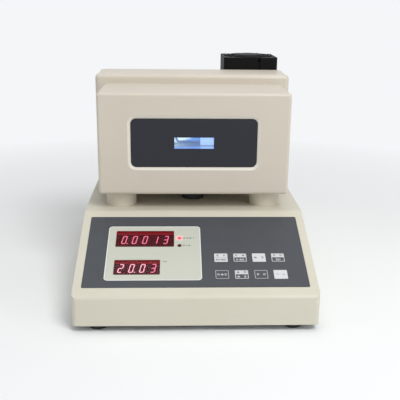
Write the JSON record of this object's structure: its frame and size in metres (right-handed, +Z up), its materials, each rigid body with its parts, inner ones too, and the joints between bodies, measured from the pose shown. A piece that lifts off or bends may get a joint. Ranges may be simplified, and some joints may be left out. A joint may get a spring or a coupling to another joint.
{
  "type": "benchtop density meter",
  "caption": "Benchtop density meter for liquids: sloped keypad and display base carrying a thermostatted oscillating-tube head with viewing window and rear cooling fan.",
  "frame": {"origin": "on the bench, under the middle of the base", "axes": "+Z up, front of the instrument towards -Y, +X to the user's right"},
  "size_m": [0.28, 0.41, 0.2844],
  "materials": {
    "case_plastic": "fine satin texture",
    "head_plastic": "fine satin texture",
    "bottom_steel": "zinc-plated, dull",
    "foot_rubber": "matt",
    "screw_steel": "zinc-plated",
    "rear_sheet": "fine satin paint",
    "black_plastic": "matt",
    "pin_brass": "nickel-plated",
    "rocker_plastic": "gloss",
    "overlay_film": "fine matt film",
    "bezel_film": "matt film",
    "red_filter": "dark red, clear",
    "display_case": "dark face",
    "lit_segment": "lit",
    "lamp_red": "tinted clear",
    "key_pale": "matt",
    "key_dark": "matt",
    "board_green": "solder mask",
    "core_iron": "varnished windings and ferrite",
    "harness_grey": "sheathed wires",
    "label_film": "smooth",
    "window_glass": "clear",
    "foam": "closed-cell foam",
    "block_metal": "machined",
    "cell_glass": "borosilicate",
    "root_ceramic": "pale",
    "light_panel": "lit",
    "tube_plastic": "translucent",
    "port_steel": "polished",
    "ceramic": "ceramic",
    "sink_metal": "extruded",
    "fan_black": "moulded",
    "guard_wire": "black-coated wire"
  },
  "bodies": {
    "meter": {"base_shell": "case_plastic", "base_plate": "bottom_steel", "rubber_feet": "foot_rubber", "foot_screws": "screw_steel", "case_screws": "screw_steel", "rear_panel": "rear_sheet", "mains_inlet": "black_plastic", "inlet_pins": "pin_brass", "fuse_holder": "black_plastic", "switch_frame": "black_plastic", "panel_overlay": "overlay_film", "display_bezel": "bezel_film", "display_filters": "red_filter", "density_display": "display_case", "density_digits": "lit_segment", "temperature_display": "display_case", "temperature_digits": "lit_segment", "unit_lamps": "lamp_red", "key_switches": "black_plastic", "panel_board": "board_green", "board_screws": "screw_steel", "main_board": "board_green", "board_spacers": "pin_brass", "supply_board": "board_green", "supply_transformer": "core_iron", "head_columns": "case_plastic", "column_bolts": "screw_steel", "harness_sleeve": "black_plastic", "head_harness": "harness_grey", "head_gasket": "foot_rubber", "front_box": "head_plastic", "label_plate": "label_film", "view_window": "window_glass", "window_tunnel": "black_plastic", "cell_insulation": "foam", "cell_block": "block_metal", "u_tube": "cell_glass", "tube_root": "root_ceramic", "back_light": "light_panel", "sample_tubes": "tube_plastic", "sample_ports": "port_steel", "heat_pump": "ceramic", "heat_spreader": "block_metal", "rear_housing": "head_plastic", "back_cover": "rear_sheet", "heat_sink": "sink_metal", "fan_duct": "fan_black", "fan_frame": "fan_black", "fan_guard": "guard_wire", "fan_screws": "screw_steel"},
    "key_1": {"key_1": "key_pale"},
    "key_2": {"key_2": "key_pale"},
    "key_3": {"key_3": "key_pale"},
    "key_4": {"key_4": "key_pale"},
    "key_5": {"key_5": "key_dark"},
    "key_6": {"key_6": "key_pale"},
    "key_7": {"key_7": "key_dark"},
    "key_8": {"key_8": "key_pale"},
    "rotor": {"fan_rotor": "fan_black"},
    "rocker": {"power_rocker": "rocker_plastic"}
  },
  "joints": [
    {"name": "key_1_press", "type": "slide", "parent": "meter", "child": "key_1", "axis": [0, -0.3746, 0.9272], "range_m": [-0.0004, 0], "stiffness_N_per_m": 1500, "springref_m": 0.0004},
    {"name": "key_2_press", "type": "slide", "parent": "meter", "child": "key_2", "axis": [0, -0.3746, 0.9272], "range_m": [-0.0004, 0], "stiffness_N_per_m": 1500, "springref_m": 0.0004},
    {"name": "key_3_press", "type": "slide", "parent": "meter", "child": "key_3", "axis": [0, -0.3746, 0.9272], "range_m": [-0.0004, 0], "stiffness_N_per_m": 1500, "springref_m": 0.0004},
    {"name": "key_4_press", "type": "slide", "parent": "meter", "child": "key_4", "axis": [0, -0.3746, 0.9272], "range_m": [-0.0004, 0], "stiffness_N_per_m": 1500, "springref_m": 0.0004},
    {"name": "key_5_press", "type": "slide", "parent": "meter", "child": "key_5", "axis": [0, -0.3746, 0.9272], "range_m": [-0.0004, 0], "stiffness_N_per_m": 1500, "springref_m": 0.0004},
    {"name": "key_6_press", "type": "slide", "parent": "meter", "child": "key_6", "axis": [0, -0.3746, 0.9272], "range_m": [-0.0004, 0], "stiffness_N_per_m": 1500, "springref_m": 0.0004},
    {"name": "key_7_press", "type": "slide", "parent": "meter", "child": "key_7", "axis": [0, -0.3746, 0.9272], "range_m": [-0.0004, 0], "stiffness_N_per_m": 1500, "springref_m": 0.0004},
    {"name": "key_8_press", "type": "slide", "parent": "meter", "child": "key_8", "axis": [0, -0.3746, 0.9272], "range_m": [-0.0004, 0], "stiffness_N_per_m": 1500, "springref_m": 0.0004},
    {"name": "fan_spin", "type": "hinge", "parent": "meter", "child": "rotor", "pos_m": [0.088, 0.15697, 0.26944], "axis": [0, 0, 1], "continuous": true},
    {"name": "power_rock", "type": "hinge", "parent": "meter", "child": "rocker", "pos_m": [0.03, 0.19697, 0.044], "axis": [1, 0, 0], "range_deg": [0, 16]}
  ]
}
